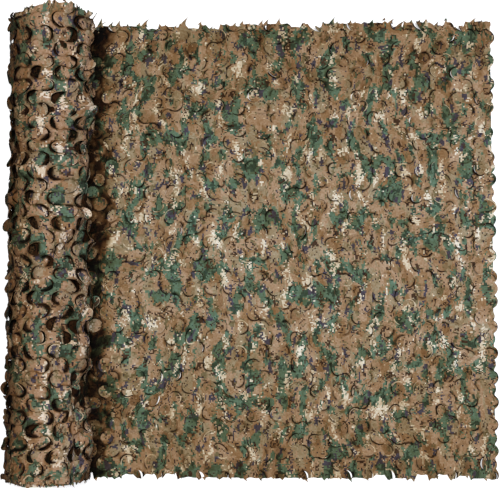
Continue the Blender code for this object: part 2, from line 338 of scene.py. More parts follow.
# How its leaves stand. A pair is the least and the greatest value on single leaves.
CLEAR_OF_ROLL = 0.095  # the cloth lies flat from the seam to here
BESIDE_ROLL = 0.160  # where leaves are pushed up a little along the roll
BESIDE_WIDTH = 0.045
LIFTED_WITHIN = 1.18  # how far from the free end leaves stand up well clear of the cloth
LIFTED_OVER = 0.76  # a leaf stands up where its own share is over this
TUCKED_OVER = 0.55  # and its tip is tucked under the cloth beside it where another is
CURLED_OVER = 0.45  # and a leaf at the cut edges curls right up where a third is
HALF_CLEAR = 0.006  # lift of a leaf that stands up a little
MUCH_CLEAR, FEW = 0.015, 12  # what a few have more: this times their share to a high power
LOW_LIFT = (0.001, 0.006)  # of the tips of the other leaves
BESIDE_LIFT = (0.0, 0.007)
EDGE_LIFT = (0.002, 0.010)
CURLED_LIFT = (0.020, 0.030)
TUCKED_LIFT = (0.002, 0.006)  # of the cloth over a tucked leaf
TUCKED_SINK = 0.0009
CURL = (0.3, 1.0)  # share of a leaf's lift that comes from its curling
LEAN = (-0.45, 0.45)  # turn of the line along which it bends
CUP = (-0.002, 0.004)  # how far its sides stand above its middle
STEEPEST = 0.95  # sine of a leaf's slope at its neck, at most
LEAST_BEND = 0.01
RIM_WIDTH = 0.007  # how far from a slit the cloth round it is lifted or shaded

# Its torn edges. A row of the profile is a place in the column, the least reach there and its
# random part, in horns, and its share of the bite. Pairs are -Y and +Y edge, or least and greatest.
HORN = 0.008  # reach of the small points along the cut edges
BITE = 0.018  # depth of the bites between them
EDGE_PROFILE = np.array([(-0.46, -0.2, 0.5, 0.0), (-0.34, -0.5, 0.5, 1.0), (-0.08, -0.3, 0.6, 0.8),
                         (0.14, -0.5, 0.5, 1.0), (0.22, 0.2, 1.2, 0.0), (0.34, -0.5, 0.6, 0.0)])
BITTEN_OVER, BITTEN_FADE = 0.5, 0.4  # a column has a bite where its share is over this
EDGE_REACH = {-1: 0.0045, 1: 0.0015}  # how far each cut edge stands out on the whole
EDGE_SLANT = {-1: (-0.003, 0.003), 1: (-0.0125, 0.0075)}  # and how much more by the roll and at the free end
EDGE_FADE = 0.014  # how far in from the edge the cloth follows it
FIRST_TONGUE = 0.110  # where the torn points begin
END_MARGIN = 0.02  # and how far from the free end they stop
TONGUE_SPACING = {-1: 0.050, 1: 0.029}
TONGUE_LENGTH = {-1: (0.002, 0.011), 1: (0.002, 0.031)}
TONGUE_STRAY = 0.8  # how much of its spacing a tongue may be moved by
TONGUE_GAIN = {-1: 0.004, 1: 0.024}  # what the ones beside the roll have more
GAIN_FADE, GAIN_SHARE = 0.10, (0.3, 1.0)
TONGUE_BEND = (0.2, 1.4)  # how far a tip leans towards +s, in lengths
TONGUE_LIFT = (-0.05, 0.45)  # and how far it stands up
TONGUE_WIDTH, WIDER = 0.010, 0.6  # the least width, and the share of its length that is added
SLIMMER = 0.3  # share of that which the ones beside the roll lose
TONGUE_ROOT = 0.006  # how far in from the edge a tongue starts
TONGUE_TAPER = 1.5  # power by which its sides draw in and its tip lifts
TONGUE_GRID = (3, 6)  # its points across and outwards
END_LEAF_SHIFT = 0.012  # how unevenly the leaf edges along the free end are spaced
END_SHORTER = (0.004, 0.016)  # how much shorter every first and second of them is at most
END_REACH = 0.008
END_LAYER = (0.006, 0.19)
END_ROUND = 0.9  # how much of a full half circle such an edge is

# How dark it is: painted shade, and some random tone. 0 is the print's own colour and 1 full shade.
SLIT_BAND = (0.0, 0.5)  # painted shade beside single slits
LEAF_TONE = (-0.08, 0.20)  # on single leaves
BASE_TONE = 0.07
SPOTS, STREAKS = (0.09, 0.034), (0.08, 0.095)
STREAK_STRETCH = 4.0  # how many times longer than wide the streaks are
EDGE_FALLOFF_SHADE = 0.22  # painted shade where the light falls off, more at the cut edges than in the middle
TONGUE_TONE = 0.25
GAP_PAINTED_SHADE = 0.80  # painted shade beside the roll, where little light comes in
GAP_EDGE, GAP_FADE = 0.139, 0.085
LEAF_IN_GAP = (0.00, 1.20)  # share of that shade on single leaves
RAGGED, RAGGED_ALONG = (0.016, 0.026), (0.014, 0.11)
GAP_SPOTS = (0.50, 0.013)
DARKEST = 0.97
SLIT_DEPTH = (0.4, 1.6)  # depth of the shade in a slit, cut off at 1
CLOTH_DEPTH, LEAF_DEPTH = (1.0, 0.5), (0.4, 1.0)  # share of it on each, and where the leaf is tucked in
ARC_MIDDLE = (-1.5, 1.5)  # middle of the arc of a slit that shows, in radians round its leaf
ARC_END, ARC_FADE = (0.0, 0.7), 0.4  # where it has faded, as the cosine of the angle from there
PALEST = 0.95  # of the edges painted pale: yarn from fraying, and painted highlight
FACE_CAST = (1.02, 1.02, 1.02)

# What scatters the values that differ from leaf to leaf.
WEIGHTS = (12.9898, 78.233, 37.719)
MULTIPLE = 43758.5453


def spread(i, j, k):
    """A repeatable value from 0 to 1 for two whole numbers or arrays of them; k picks the draw.

    It is the fraction of a large multiple of the sine of their weighted sum.
    """
    weighted = i * WEIGHTS[0] + j * WEIGHTS[1] + k * WEIGHTS[2]
    return np.modf(np.abs(np.sin(weighted)) * MULTIPLE)[0]


def between(span, i, j, k):
    """Such a value between the two ends of a span."""
    return span[0] + (span[1] - span[0]) * spread(i, j, k)


def per_leaf(net, k, span=(0.0, 1.0)):
    """Such a value for each leaf of a net."""
    return between(span, net["column"], net["row"], k)


def smooth(value):
    """0 below 0, 1 above 1, and between them three times the square less twice the cube."""
    value = np.clip(value, 0.0, 1.0)
    return value * value * (3 - 2 * value)


def soft_noise(s, t, grain, seed):
    """Smooth noise from -1 to 1: random values at the corners of squares, blended by S-curves."""
    i, j = np.floor(s / grain), np.floor(t / grain)
    u, v = smooth(s / grain - i), smooth(t / grain - j)
    low = spread(i, j, seed) * (1 - u) + spread(i + 1, j, seed) * u
    high = spread(i, j + 1, seed) * (1 - u) + spread(i + 1, j + 1, seed) * u
    return 2 * (low * (1 - v) + high * v) - 1


def layered(s, t, layers, seed):
    """Smooth noise in several layers, each a height and a grain, with one draw after another."""
    return sum(height * soft_noise(s, t, grain, seed + k) for k, (height, grain) in enumerate(layers))


def round_leaf(steps, reach_s, reach_t):
    """A grid on a disc: a square's points drawn in so that its rim becomes the circle.

    u goes to u sqrt(1 - v^2 / 2), and v to v sqrt(1 - u^2 / 2).
    """
    side = np.linspace(-1.0, 1.0, steps + 1)
    u, v = np.meshgrid(side, side, indexing="ij")
    return np.stack([reach_s * u * np.sqrt(1 - v * v / 2), reach_t * v * np.sqrt(1 - u * u / 2)], axis=-1)


def rim_of(grid_shape):
    """True on the rim of a grid and False inside."""
    rim = np.ones(grid_shape, bool)
    rim[1:-1, 1:-1] = False
    return rim


def half_cell(pitch, steps, hole_reach):
    """Grid points of one half cell whose leaf opens towards +s, about the cell's middle.

    The rim follows the column's straight sides and the wavy lines to the next half rows, the
    block in the middle is the leaf's hole, and the points between are relaxed to lie evenly.
    """
    across = WIDE_STEPS + steps + 1
    up = steps + 2
    s = np.linspace(-pitch / 2, pitch / 2, across + 1)
    edge = HALF_ROW / 2 + BOUND_WAVE * np.sin(2 * np.pi * s / pitch)
    share = np.linspace(-1.0, 1.0, up + 1)
    points = np.stack(np.broadcast_arrays(s[:, None], edge[:, None] * share[None, :]), axis=-1).copy()
    held = rim_of((across + 1, up + 1))
    middle = LEAF_SHIFT + hole_reach - LEAF_RADIUS
    hole = (slice(WIDE_STEPS, WIDE_STEPS + steps + 1), slice(1, steps + 2))
    points[hole] = round_leaf(steps, hole_reach, min(hole_reach, LEAF_RADIUS)) + (middle, 0.0)
    held[hole] = True
    for _ in range(RELAXED):
        even = (points[:-2, 1:-1] + points[2:, 1:-1] + points[1:-1, :-2] + points[1:-1, 2:]) / 4
        points[1:-1, 1:-1] = np.where(held[1:-1, 1:-1, None], points[1:-1, 1:-1], even)
    return points


def slit_distance(s, t):
    """Distance to the slit round a leaf at the origin that opens towards +s.

    Beside the slit it is the distance to the leaf's circle, and past its ends that to the nearer end.
    """
    end_s = -SLIT_END * LEAF_RADIUS
    end_t = LEAF_RADIUS * math.sqrt(1 - SLIT_END ** 2)
    out = np.hypot(s, t)
    past_end = np.hypot(s - end_s, np.abs(t) - end_t)
    return np.where(s > -SLIT_END * out, np.abs(out - LEAF_RADIUS), past_end)


def quads(number):
    """The faces of a grid of point numbers."""
    corners = [number[..., :-1, :-1], number[..., 1:, :-1], number[..., 1:, 1:], number[..., :-1, 1:]]
    return np.stack(corners, axis=-1)


def on_leaves(leaf_value):
    """A value for each leaf, shaped to spread over its points."""
    return leaf_value[:, :, None, None]


def blocks(first_i, first_j, size_i, size_j):
    """Places in a large grid, (i, j), of one block of points for each leaf, from each block's first."""
    i = on_leaves(first_i) + np.arange(size_i)[:, None]
    j = on_leaves(first_j) + np.arange(size_j)[None, :]
    return tuple(np.broadcast_arrays(i, j))


def nearest_slits(ground, cells, cell_places, side, middles):
    """For each ground point its distance to the nearest slit, the leaf there, and the angle round it.

    Each half cell's own distances are written farthest first, so that the nearest one stays.
    """
    own_distance = slit_distance(on_leaves(side) * cells[..., 0] - LEAF_SHIFT, cells[..., 1])
    own_leaf = np.broadcast_to(on_leaves(np.arange(side.size).reshape(side.shape)), own_distance.shape)
    farthest_first = np.argsort(-own_distance, axis=None, kind="stable")
    places = tuple(place.ravel()[farthest_first] for place in cell_places)
    distance = np.zeros(ground.shape[:2])
    distance[places] = own_distance.ravel()[farthest_first]
    nearest = np.zeros(ground.shape[:2], int)
    nearest[places] = own_leaf.ravel()[farthest_first]
    leaf_middles = (middles[:, :, 0, 0] + side[..., None] * (LEAF_SHIFT, 0.0)).reshape(-1, 2)
    from_leaf = ground - leaf_middles[nearest]
    angle = np.arctan2(from_leaf[..., 1], side.ravel()[nearest] * from_leaf[..., 0])
    return distance, nearest, angle


def cut_faces(cell_numbers, leaf_numbers, first_step):
    """The faces of the ground outside the holes, and the leaves' own, from their point numbers.

    first_step is the step in each half cell where its hole begins. The first and the last half row
    are cut in two along their middle.
    """
    cells, leaves = quads(cell_numbers), quads(leaf_numbers)
    steps = leaves.shape[2]
    row = np.arange(HALF_ROWS)[None, :, None, None]

    def in_cloth(step):
        return ((row > 0) | (step >= steps // 2)) & ((row < HALF_ROWS - 1) | (step < 1 + steps // 2))

    step_i = np.arange(cells.shape[2])[:, None]
    step_j = np.arange(cells.shape[3])[None, :] - 1
    beside = (step_i < first_step) | (step_i >= first_step + steps) | (step_j < 0) | (step_j >= steps)
    whole_leaves = np.broadcast_to(in_cloth(np.arange(steps)[None, :]), leaves.shape[:-1])
    return np.concatenate([cells[beside & in_cloth(step_j)], leaves[whole_leaves]])


def slit_cloth(numbers, pitch, steps, hole_reach, first_side):
    """The cut cloth laid flat, from s = 0, as arrays over columns and half rows.

    numbers holds the columns' own numbers, from which the values of single leaves are drawn, and
    first_side is +1 where the leaf in the first half row opens towards +s. Gives the ground's grid
    points and the leaves' own as (s, t), the leaves' points in their own leaf, what nearest_slits
    says, and the faces. Ground and leaf share their points only along the leaf's neck.
    """
    column = np.arange(len(numbers))[:, None]
    row = np.arange(HALF_ROWS)[None, :]
    side = np.where(row % 2 == 0, first_side, -first_side) * np.ones_like(column)
    middles = np.broadcast_arrays((column + 0.5) * pitch, (row - (HALF_ROWS - 1) / 2) * HALF_ROW)
    middles = np.stack(middles, axis=-1)[:, :, None, None, :]
    across, up = WIDE_STEPS + steps + 1, steps + 2

    # The ground's grid: one half cell after another, turned round where its leaf opens towards -s.
    plus = half_cell(pitch, steps, hole_reach)
    cells = np.where(on_leaves(side)[..., None] > 0, plus, plus[::-1] * (-1.0, 1.0))
    cell_places = blocks(column * across, row * up, across + 1, up + 1)
    ground = np.zeros((len(numbers) * across + 1, HALF_ROWS * up + 1, 2))
    ground[cell_places] = cells + middles
    number = np.arange(ground.shape[0] * ground.shape[1]).reshape(ground.shape[:2])
    distance, nearest, angle = nearest_slits(ground, cells, cell_places, side, middles)

    # The leaves' grids, joined to the ground's along their necks.
    disc = round_leaf(steps, LEAF_RADIUS, LEAF_RADIUS)
    own_s, own_t = (np.broadcast_to(disc[..., k], side.shape + disc.shape[:2]) for k in (0, 1))
    leaf = np.stack([own_s + on_leaves(side) * LEAF_SHIFT, own_t], axis=-1) + middles
    first_step = np.where(side > 0, WIDE_STEPS, 1)
    on_hole = blocks(column * across + first_step, row * up + 1, steps + 1, steps + 1)
    rim = rim_of(disc.shape[:2])
    neck = rim & (on_leaves(side) * own_s < -SLIT_END * LEAF_RADIUS)
    leaf_number = number.size + np.arange(own_s.size).reshape(own_s.shape)
    leaf_number = np.where(neck, number[on_hole], leaf_number)
    distance[on_hole] = np.where(rim & ~neck, 0.0, distance[on_hole])
    return {
        "ground": ground, "distance": distance, "nearest": nearest, "angle": angle,
        "leaf": leaf, "own_s": on_leaves(side) * own_s, "own_t": own_t, "side": on_leaves(side),
        "column": numbers[:, None], "row": row,
        "faces": cut_faces(number[cell_places], leaf_number, on_leaves(first_step)),
    }


def on_ground(net, leaf_value):
    """For each ground point the value of the leaf that lies nearest."""
    return leaf_value.ravel()[net["nearest"]]


def on_all_points(net, ground_value, leaf_value):
    """A value for each ground point, then one for each leaf point, as one row."""
    ground = np.broadcast_to(ground_value, net["ground"].shape[:-1])
    leaf = np.broadcast_to(leaf_value, net["leaf"].shape[:-1])
    return np.concatenate([ground.ravel(), leaf.ravel()])


def flat_places(net):
    """All points' places on the flat cloth: the ground's, then the leaves'."""
    return np.concatenate([net["ground"].reshape(-1, 2), net["leaf"].reshape(-1, 2)])


def bent_leaves(net, tip, spans):
    """How far the leaves' points move along s and t, and stand up, when leaves are bent at their necks.

    tip is how far each leaf's tip stands up, and spans are those of the share of it that comes from
    curling, of the turn of the neck's line and of the cup. A strip of length u from the neck leaves
    it at a slope a and goes on in an arc: along = (sin(a + ku) - sin a) / k, and up = (cos a -
    cos(a + ku)) / k.
    """
    curl, lean, cup = (on_leaves(per_leaf(net, k, span)) for k, span in zip((3, 4, 8), spans))
    tip = on_leaves(tip)
    reach = LEAF_RADIUS * (1 + SLIT_END)
    across = net["own_s"] * np.cos(lean) + net["own_t"] * np.sin(lean)
    neck = SLIT_END * np.cos(lean) - math.sqrt(1 - SLIT_END ** 2) * np.abs(np.sin(lean))
    along = np.maximum(across + LEAF_RADIUS * neck, 0.0)
    slope = np.arcsin(np.clip((1 - curl) * tip / reach, -STEEPEST, STEEPEST))
    bend = 2 * curl * tip / reach ** 2
    bend = np.where(np.abs(bend) < LEAST_BEND, LEAST_BEND, bend)
    run = (np.sin(slope + bend * along) - np.sin(slope)) / bend
    rise = (np.cos(slope) - np.cos(slope + bend * along)) / bend
    sideways = net["own_t"] * np.cos(lean) - net["own_s"] * np.sin(lean)
    cup = cup * np.minimum(1.0, np.abs(tip) / HALF_CLEAR)
    rise = rise + cup * (sideways / LEAF_RADIUS) ** 2 * along / reach
    draw = run - along
    return net["side"] * draw * np.cos(lean), draw * np.sin(lean), rise


def arc_of_slit(net, seed):
    """1 on an arc of the slit round each leaf and 0 on the rest, for the ground's points and the leaves'.

    It fades with the cosine of the angle from the arc's middle.
    """
    middle = per_leaf(net, seed, ARC_MIDDLE)
    least = per_leaf(net, seed + 3, ARC_END)
    own_angle = np.arctan2(net["own_t"], net["own_s"])
    ground = smooth((np.cos(net["angle"] - on_ground(net, middle)) - on_ground(net, least)) / ARC_FADE)
    return ground, smooth((np.cos(own_angle - on_leaves(middle)) - on_leaves(least)) / ARC_FADE)


def edge_fray_and_highlight(net):
    """How pale each leaf's cut edge is, from fraying yarn and painted highlight, for all points, along an
    arc.
    """
    pale = PALEST * per_leaf(net, 40) ** 2
    ground_arc, leaf_arc = arc_of_slit(net, 45)
    return on_all_points(net, on_ground(net, pale) * ground_arc, on_leaves(pale) * leaf_arc)


def slit_depth(net, span, on_cloth, on_leaf):
    """How deep the shade in the slit round each leaf is, for all points, along an arc of it.

    on_cloth is the share of it on the cloth round each leaf, and on_leaf that on the leaves' points.
    """
    depth = np.clip(per_leaf(net, 12, span), 0.0, 1.0)
    ground_arc, leaf_arc = arc_of_slit(net, 17)
    ground_depth = on_ground(net, on_cloth * depth) * ground_arc
    return on_all_points(net, ground_depth, on_leaf * on_leaves(depth) * leaf_arc)


def drift(s, t, seed):
    """How far the cloth is pulled along s and t where it lies unevenly: wide slow pulls and short ones."""
    return layered(s, t, PULL_ALONG, seed), layered(s, t, PULL_ACROSS, seed + len(PULL_ALONG))


def torn_reach(column_place, end):
    """How far a cut edge stands out: points and dips in each column, and a wide bite in some.

    column_place is the place along the edge in columns.
    """
    place, least, extra, bite_share = EDGE_PROFILE.T
    column = np.arange(math.floor(column_place.min()), math.ceil(column_place.max()))[:, None]
    out = (least + extra * spread(column, np.arange(len(place)), 3 + end)) * HORN
    bitten = smooth((spread(column, 7, 3 + end) - BITTEN_OVER) / BITTEN_FADE)
    out = out - BITE * bitten * bite_share + EDGE_REACH[end]
    return np.interp(column_place, (column + 0.5 + place).ravel(), out.ravel())


def lying_reach(s, end):
    """How far the lying cloth's cut edge stands out: torn, and slanting from the roll to the free end."""
    return torn_reach(s / COLUMN_PITCH, end) + np.interp(s, (0.0, LYING_LENGTH), EDGE_SLANT[end])


def with_edges(s, t, flat_t, reach, fade):
    """t with both cut edges moved out by their reach, and the cloth beside them following less and less."""
    for end in (-1, 1):
        inside = np.maximum(HALF_WIDTH - end * flat_t, 0.0)
        t = t + end * reach(s, end) * np.exp(-inside / fade)
    return t


def tongues(end, spacing, number, lengths, gain, start, reach, seed):
    """Torn points on a cut edge, a spacing apart, leaning towards +s.

    Each is a grid with hollow sides that runs out to a tip: s = s0 + bend v^2 + width / 2 u (1 - v)^p
    across and t = edge + length v outwards, raised by lift v^p. gain adds to the length of the first
    ones. reach is the function that says how far the edge stands out, read at start + s. Gives s, t,
    height, place on the cloth and faces.
    """
    shortest, longest = lengths
    number = np.arange(number)[:, None, None]
    first = (number + TONGUE_STRAY * spread(number, end, seed)) * spacing
    edge = HALF_WIDTH + reach(start + first, end)
    close = np.exp(-first / GAIN_FADE) * between(GAIN_SHARE, number, end, seed + 2)
    length = shortest + (longest - shortest) * spread(number, end, seed + 1) ** 2 + gain * close
    bend = length * between(TONGUE_BEND, number, end, seed + 3)
    lift = length * between(TONGUE_LIFT, number, end, seed + 4)
    width = TONGUE_WIDTH + WIDER * length * (1 - SLIMMER * close)
    u = np.linspace(-1.0, 1.0, TONGUE_GRID[0])[None, :, None]
    v = np.linspace(0.0, 1.0, TONGUE_GRID[1])[None, None, :]
    s = first + bend * v ** 2 + width / 2 * u * (1 - v) ** TONGUE_TAPER
    t = end * (edge - TONGUE_ROOT + (length + TONGUE_ROOT) * v + 0 * s)
    up = lift * v ** TONGUE_TAPER + 0 * s
    place = np.stack([first + width / 2 * u + 0 * v, t], axis=-1).reshape(-1, 2)
    faces = quads(np.arange(s.size).reshape(s.shape)).reshape(-1, 4)
    return s.ravel(), t.ravel(), up.ravel(), place, faces


def joined(first, second):
    """Two sets of (points, place on the cloth, attributes, faces) as one."""
    points, place, attributes, faces = first
    more_points, more_place, more_attributes, more_faces = second
    both = {name: np.concatenate([attributes[name], more_attributes[name]]) for name in attributes}
    return (np.concatenate([points, more_points]), np.concatenate([place, more_place]), both,
            np.concatenate([faces, more_faces + len(points)]))


def unslit(count, shade):
    """Attributes of points that have no slit near them."""
    none = np.zeros(count)
    return {"slit_distance": none + NO_SLIT, "slit_depth": none, "slit_fray": none, "shade": none + shade}


def cloth_object(name, points, cloth_place, attributes, faces, material):
    """Put the points that faces use into a mesh, with their place on the cloth as its UV map."""
    used, numbers = np.unique(faces, return_inverse=True)
    numbers = numbers.reshape(faces.shape)
    mesh = bpy.data.meshes.new(name)
    mesh.vertices.add(len(used))
    mesh.vertices.foreach_set("co", points[used].astype(np.float32).ravel())
    mesh.loops.add(numbers.size)
    mesh.loops.foreach_set("vertex_index", numbers.ravel().astype(np.int32))
    mesh.polygons.add(len(numbers))
    mesh.polygons.foreach_set("loop_start", np.arange(0, numbers.size, 4, dtype=np.int32))
    mesh.update(calc_edges=True)
    mesh.uv_layers.new(name="cloth")
    corner_places = cloth_place[used][numbers.ravel()].astype(np.float32)
    mesh.uv_layers["cloth"].data.foreach_set("uv", corner_places.ravel())
    for attribute, values in attributes.items():
        mesh.attributes.new(attribute, "FLOAT", "POINT")
        mesh.attributes[attribute].data.foreach_set("value", values[used].astype(np.float32))
    mesh.validate()
    mesh.shade_smooth()
    mesh.materials.append(material)
    piece = bpy.data.objects.new(name, mesh)
    bpy.context.scene.collection.objects.link(piece)
    return piece


def lying_height(x, y):
    """Height of the lying cloth over the floor: shallow waves and puckers, none by the roll.

    The waves are the product of two sines, each shifted by a slower one, where it is above 0.
    """
    wave_x = np.sin(x * WAVE_X + BEND_OF_X * np.sin(y * BEND_Y))
    wave_y = np.sin(y * WAVE_Y + BEND_OF_Y * np.sin(x * BEND_X))
    relief = LYING_WAVE * np.maximum(0.0, wave_x * wave_y) + PUCKER + layered(x, y, PUCKER_LAYERS, 21)
    return LYING_HEIGHT + relief * smooth((x - CLEAR_OF_ROLL) / COLUMN_PITCH)


def free_reach(t):
    """How far the free end reaches at t: the round edges of leaves, each shorter by its own amount.

    It is the farthest of the leaves' flattened circles, reach - r (1 - sqrt(1 - END_ROUND (t / r)^2)).
    """
    row = np.arange(HALF_ROWS)
    middle = (row - (HALF_ROWS - 1) / 2) * HALF_ROW + END_LEAF_SHIFT * (spread(row, 1, 11) - 0.5)
    shorter = np.where(row % 2 == 0, *END_SHORTER) * spread(row, 0, 11)
    reach = FREE_END + END_REACH - shorter + layered(0 * middle, middle, [END_LAYER], 39)
    across = np.clip((t[..., None] - middle) / LEAF_RADIUS, -1.0, 1.0)
    return (reach - LEAF_RADIUS * (1 - np.sqrt(1 - END_ROUND * across ** 2))).max(axis=-1)


def leaf_lifts(net):
    """How far each leaf's tip stands up, how far the cloth over it does, and which leaves are tucked in."""
    share, row = per_leaf(net, 1), net["row"]
    from_free_end = (net["column"] + 0.5) * COLUMN_PITCH
    away = smooth((FREE_END - from_free_end - CLEAR_OF_ROLL) / COLUMN_PITCH)
    lifted = (share > LIFTED_OVER) & (from_free_end < LIFTED_WITHIN)
    tucked = ~lifted & (per_leaf(net, 9) > TUCKED_OVER)
    tip = np.where(lifted, HALF_CLEAR + MUCH_CLEAR * share ** FEW, per_leaf(net, 2, LOW_LIFT))
    tip = np.where(tucked, 0.0, tip)
    beside_roll = np.exp(-((FREE_END - from_free_end - BESIDE_ROLL) / BESIDE_WIDTH) ** 2)
    tip = np.maximum(tip, beside_roll * per_leaf(net, 36, BESIDE_LIFT))
    at_edge = (row == 0) | (row == HALF_ROWS - 1)
    curled_away = at_edge & (per_leaf(net, 13) > CURLED_OVER)
    tip = np.where(at_edge, per_leaf(net, 6, EDGE_LIFT), tip)
    tip = np.where(curled_away, per_leaf(net, 6, CURLED_LIFT), tip) * away
    over_tip = np.where(tucked, per_leaf(net, 2, TUCKED_LIFT), 0.0) * away
    return tip, over_tip, tucked


def lying_shade(net):
    """How dark each point of the lying cloth is: painted shade by slits, edges and roll, and tone on leaves
    and in patches.
    """
    s, t = flat_places(net).T
    band = on_ground(net, per_leaf(net, 18, SLIT_BAND)) * arc_of_slit(net, 17)[0]
    band = band * np.exp(-net["distance"] / RIM_WIDTH)
    shade = on_all_points(net, band, on_leaves(per_leaf(net, 19, LEAF_TONE)))
    shade = shade + BASE_TONE + layered(s, t, [SPOTS], 23) + layered(STREAK_STRETCH * s, t, [STREAKS], 35)
    shade = shade + EDGE_FALLOFF_SHADE * (t / HALF_WIDTH) ** 2
    ragged = layered(s, t, [RAGGED], 37) + layered(0 * t, t, [RAGGED_ALONG], 38)
    in_gap = GAP_PAINTED_SHADE * (1 - smooth((SEAM_X + s + ragged - GAP_EDGE) / GAP_FADE))
    in_gap = in_gap * on_all_points(net, 1.0, on_leaves(per_leaf(net, 41, LEAF_IN_GAP)))
    in_gap = in_gap * (1 + layered(s, t, [GAP_SPOTS], 44))
    return np.clip(shade + in_gap, 0.0, DARKEST)


def laid_points(net, tip, over_tip, tucked):
    """Where the points of the lying cloth are, with its leaves bent, its edges torn and its waves."""
    draw_s, draw_t, rise = bent_leaves(net, tip, (CURL, LEAN, CUP))
    flat_s, flat_t = flat_places(net).T
    s = flat_s + on_all_points(net, 0.0, draw_s)
    t = flat_t + on_all_points(net, 0.0, draw_t)
    rim = on_ground(net, over_tip) * np.exp(-net["distance"] / RIM_WIDTH)
    up = on_all_points(net, rim, rise - TUCKED_SINK * on_leaves(tucked))
    pull_s, pull_t = drift(s, t, 26)
    s = s + smooth(np.minimum(s, LYING_LENGTH - s) / FREE_TO_PULL) * pull_s
    t = t + smooth((HALF_WIDTH - np.abs(t)) / FREE_TO_PULL) * pull_t
    t = with_edges(s, t, flat_t, lying_reach, EDGE_FADE)
    x = SEAM_X + s
    last_row = FREE_END - 0.5 * COLUMN_PITCH
    stretch = (free_reach(t) - last_row) / (FREE_END - last_row)
    x = np.where(x > last_row, last_row + (x - last_row) * stretch, x)
    return np.stack([x, t, np.maximum(lying_height(x, t) + up, LEAST_HEIGHT)], axis=-1)


def lay_cloth():
    """The lying cloth: cut flat, its leaves bent up a little or tucked under the cloth beside them."""
    net = slit_cloth(np.arange(COLUMNS)[::-1], COLUMN_PITCH, LEAF_STEPS, CLOSED_REACH, 1)
    tip, over_tip, tucked = leaf_lifts(net)
    on_cloth, on_leaf = (np.where(tucked, covered, free) for free, covered in (CLOTH_DEPTH, LEAF_DEPTH))
    attributes = {
        "slit_distance": on_all_points(net, net["distance"], slit_distance(net["own_s"], net["own_t"])),
        "slit_depth": slit_depth(net, SLIT_DEPTH, on_cloth, on_leaves(on_leaf)),
        "slit_fray": edge_fray_and_highlight(net),
        "shade": lying_shade(net),
    }
    cloth = (laid_points(net, tip, over_tip, tucked), flat_places(net), attributes, net["faces"])
    for end in (-1, 1):
        number = int((FREE_END - FIRST_TONGUE - END_MARGIN) / TONGUE_SPACING[end])
        s, t, up, place, faces = tongues(end, TONGUE_SPACING[end], number, TONGUE_LENGTH[end],
                                         TONGUE_GAIN[end], FIRST_TONGUE - SEAM_X, lying_reach, 24)
        x = FIRST_TONGUE + s
        points = np.stack([x, t, lying_height(x, t) + np.maximum(up, 0.0)], axis=-1)
        place = place + (FIRST_TONGUE - SEAM_X, 0.0)
        cloth = joined(cloth, (points, place, unslit(len(points), TONGUE_TONE), faces))
    piece = cloth_object("lying_net", *cloth, camouflage_cloth("camouflage_cloth_face", FACE_CAST))
    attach(piece, "root")
    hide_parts("loose_sheet")


lay_cloth()


# ------------------------ the rolled cloth
# The rest of the same net, wound on itself with its other face outwards. On the outer turn the
# slits are pulled open: some leaves stand out, the others have sunk in and show the next turn.
ROLL_RADIUS = 0.130
TURN_STEP = 0.0084  # what the radius loses in one turn
FLAT_SPOT = 0.036  # half width of the roll's flattened underside
PRESSED_TO = 0.054  # and of the wider part round it where nothing stands out
AXIS_HEIGHT = math.sqrt(ROLL_RADIUS ** 2 - FLAT_SPOT ** 2)
SECOND_REST = 0.0036  # least height of the later turns over the floor
TURN_GAP = 0.002  # how far under the spiral the sagging turns lie at most
ROLL_PITCH = 0.0742  # of the stretched columns: eleven go round the outer turn
OPEN_REACH = 0.0250  # half of a stretched hole's length
OUTER_COLUMNS, OUTER_STEPS = 11, 8
SECOND_COLUMNS, SECOND_STEPS = 10, 5
OUTER_HANG, SECOND_HANG = (0.0, 0.0), (0.004, 0.011)  # out of the spiral, and back into it on top
TOP_WIDTH = 1.6  # fully so where this times faces_up is over 1
INNER_TURNS, SLIT_TURNS = 12, 2
INNER_STEPS = 44  # in one inner turn
INNER_ROWS = np.array([0.0, 0.004, 0.009, 0.016, 0.026, 0.045, 0.09, 0.25, 0.5])  # places from each end
INNER_OFFSET = -0.008  # the inner turns lie so much farther in than the spiral
INNER_RELIEF, INNER_END_RELIEF = (0.003, 0.07), (0.004, 0.03)
INNER_SHIFT = (0.008, 0.31)  # how unevenly they end
INNER_EDGE_FADE = 0.020

SIDE_COLUMNS = (2, 3, 7, 8, 9)  # the ones round the two sides of the outer turn
OUT_OVER, OUT_OVER_AT_SIDE = 0.70, 0.25  # a leaf stands out where its share is over this
OUT_ON_TOP = (0.005, 0.023)  # how far leaves stand out
OUT_AT_SIDE = (0.010, 0.026)  # and at the sides
SUNK_IN = (0.010, 0.036)  # and how far the others have sunk, on top
SUNK_AT_SIDE = 0.35  # share of that at the sides
BULGE, BULGE_OVER = (0.001, 0.008), 0.25  # of the cloth round sunk leaves, where a share is over this
RIM_DIP, OUT_RIM_DIP = -0.003, -0.002  # and round the others, and round leaves that stand out
SECOND_TIP, SECOND_RIM = (-0.004, 0.004), (-0.001, 0.002)
OPEN_CURL, OPEN_LEAN, OPEN_CUP = (0.0, 0.9), (-1.2, 1.2), (-0.004, 0.007)
OPEN_RIM_WIDTH = 0.008
ROLL_RELIEF = ((0.0080, 0.046), (0.0050, 0.022))
LOOSE_LENGTH, LOOSE_FADE = 0.79, 0.05  # the outer turn hangs loose on the +X side, up to here
LOOSE_WIDTH = 1.5  # and fully so where this times the sine of the angle is over 1
LOOSE_OUT, LOOSE_FOLDS = 0.003, (0.017, 0.062)
PULL_SHARE, ROLL_FREE_TO_PULL = 0.7, 0.05
